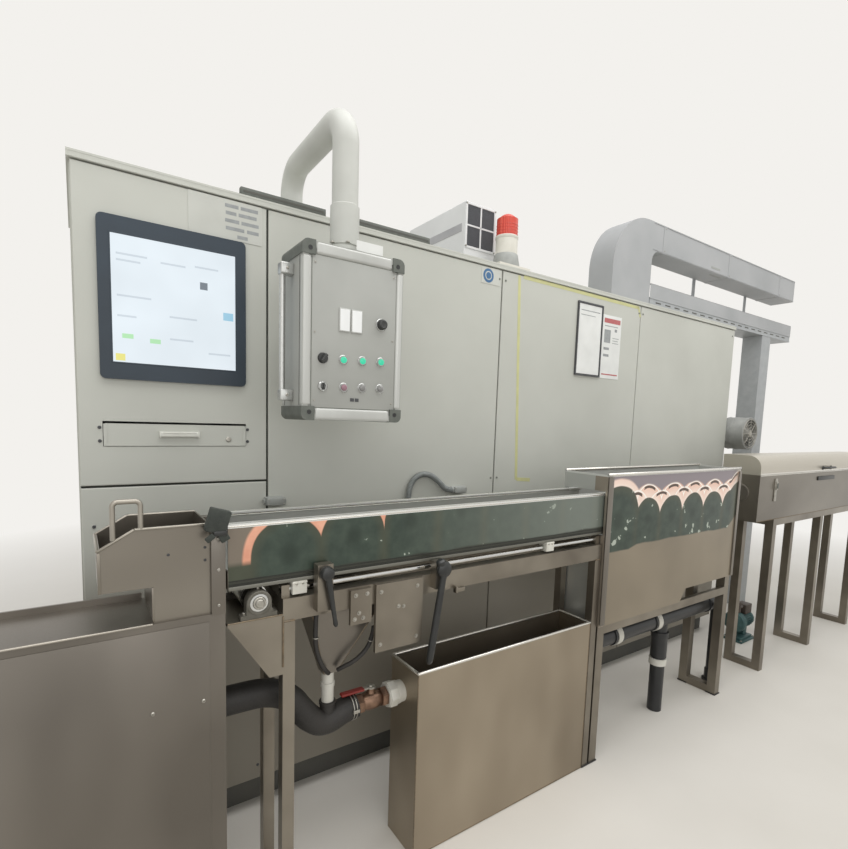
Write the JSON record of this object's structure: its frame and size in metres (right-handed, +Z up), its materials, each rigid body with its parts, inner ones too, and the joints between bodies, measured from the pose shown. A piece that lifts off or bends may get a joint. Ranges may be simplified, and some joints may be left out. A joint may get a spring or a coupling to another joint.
{
  "type": "cable extrusion line cooling and control bay",
  "caption": "Operator cabinet with screen, hanging control box and roof trunking, and in front of it a stainless water-cooling line for extruded cable.",
  "frame": {"origin": "on the floor under the middle of the cabinet's plinth", "axes": "+X along the line in the direction the cable travels, +Y from the operator towards the cabinet, +Z up"},
  "size_m": [4.695, 1.1013, 2.425],
  "materials": {
    "cabinet_paint": "satin",
    "cabinet_dark": "matte",
    "screen_frame_paint": "satin",
    "screen_lit": "gloss",
    "white_plastic": "satin",
    "cooler_white": "satin",
    "grille_dark": "matte",
    "beacon_white": "satin",
    "beacon_red": "gloss",
    "board_white": "satin",
    "grey_plastic": "matte",
    "fan_grey": "satin",
    "duct_grey": "satin",
    "pendant_grey": "satin",
    "cap_grey": "matte",
    "handle_aluminium": "satin",
    "controls_mixed": "gloss",
    "stainless": "brushed",
    "polished_stainless": "polished",
    "stainless_tube": "brushed",
    "chrome_rod": "polished",
    "white_acetal": "satin",
    "cast_bearing": "painted",
    "black_rubber": "matte",
    "black_plastic": "satin",
    "black_pipe": "satin",
    "white_pipe": "satin",
    "valve_brass": "dull",
    "valve_red": "dipped",
    "pump_teal": "satin"
  },
  "bodies": {
    "machine": {"cabinet_plinth": "cabinet_dark", "left_housing": "cabinet_paint", "main_housing": "cabinet_paint", "left_upper_cover": "cabinet_paint", "left_lower_cover": "cabinet_paint", "middle_cover": "cabinet_paint", "right_cover": "cabinet_paint", "end_cover": "cabinet_paint", "roof_panel": "cabinet_paint", "screen_frame": "screen_frame_paint", "screen_glass": "screen_lit", "cooling_unit": "cooler_white", "cooling_grille": "grille_dark", "beacon_base": "beacon_white", "beacon_dome": "beacon_red", "document_board": "board_white", "grey_blocks": "grey_plastic", "conduit": "grey_plastic", "end_fan": "fan_grey", "cable_trunking": "duct_grey", "cable_tray": "duct_grey", "pendant_arm": "pendant_grey", "entry_stand": "stainless", "entry_box": "stainless", "entry_grip": "chrome_rod", "post_clip": "black_rubber", "guide_rods": "chrome_rod", "trough_frame": "stainless_tube", "pillow_blocks": "cast_bearing", "water_tank": "stainless", "drain_funnel": "stainless", "drain_hose": "black_pipe", "valve_body": "valve_brass", "white_fittings": "white_pipe", "deep_box": "polished_stainless", "deep_box_stand": "stainless_tube", "overflow_pipe": "black_pipe", "hood_trough": "stainless", "hood_stand": "stainless_tube", "floor_pump": "pump_teal"},
    "drawer": {"keyboard_drawer": "cabinet_paint", "drawer_grip": "white_plastic"},
    "pendant": {"pendant_box": "pendant_grey", "pendant_caps": "cap_grey", "pendant_handles": "handle_aluminium", "pendant_controls": "controls_mixed"},
    "trough": {"sliding_trough": "polished_stainless", "slide_blocks": "white_acetal"},
    "roller": {"support_roller": "chrome_rod"},
    "left_clamp": {"left_clamp_lever": "black_plastic"},
    "right_clamp": {"right_clamp_lever": "black_plastic"},
    "valve_handle": {"valve_lever": "valve_red"},
    "hood": {"hood_lid": "stainless"}
  },
  "joints": [
    {"name": "drawer_slide", "type": "slide", "parent": "machine", "child": "drawer", "axis": [0, -1, 0], "range_m": [0, 0.28]},
    {"name": "pendant_swivel", "type": "hinge", "parent": "machine", "child": "pendant", "pos_m": [-1.068, -0.555, 1.753], "axis": [0, 0, 1], "range_deg": [-90, 90]},
    {"name": "trough_slide", "type": "slide", "parent": "machine", "child": "trough", "axis": [1, 0, 0], "range_m": [0, 0.2]},
    {"name": "roller_spin", "type": "hinge", "parent": "machine", "child": "roller", "pos_m": [-1.358, -0.656, 0.869], "axis": [0, 1, 0], "continuous": true},
    {"name": "left_clamp_turn", "type": "hinge", "parent": "machine", "child": "left_clamp", "pos_m": [-1.206, -0.776, 0.926], "axis": [0, 1, 0], "range_deg": [-60, 60]},
    {"name": "right_clamp_turn", "type": "hinge", "parent": "machine", "child": "right_clamp", "pos_m": [-0.855, -0.776, 0.888], "axis": [0, 1, 0], "range_deg": [-60, 60]},
    {"name": "valve_turn", "type": "hinge", "parent": "machine", "child": "valve_handle", "pos_m": [-1.0095, -0.656, 0.523], "axis": [0, 0, 1], "range_deg": [0, 90]},
    {"name": "hood_hinge", "type": "hinge", "parent": "machine", "child": "hood", "pos_m": [1.96, -0.564, 1.0813], "axis": [-1, 0, 0], "range_deg": [0, 80]}
  ]
}
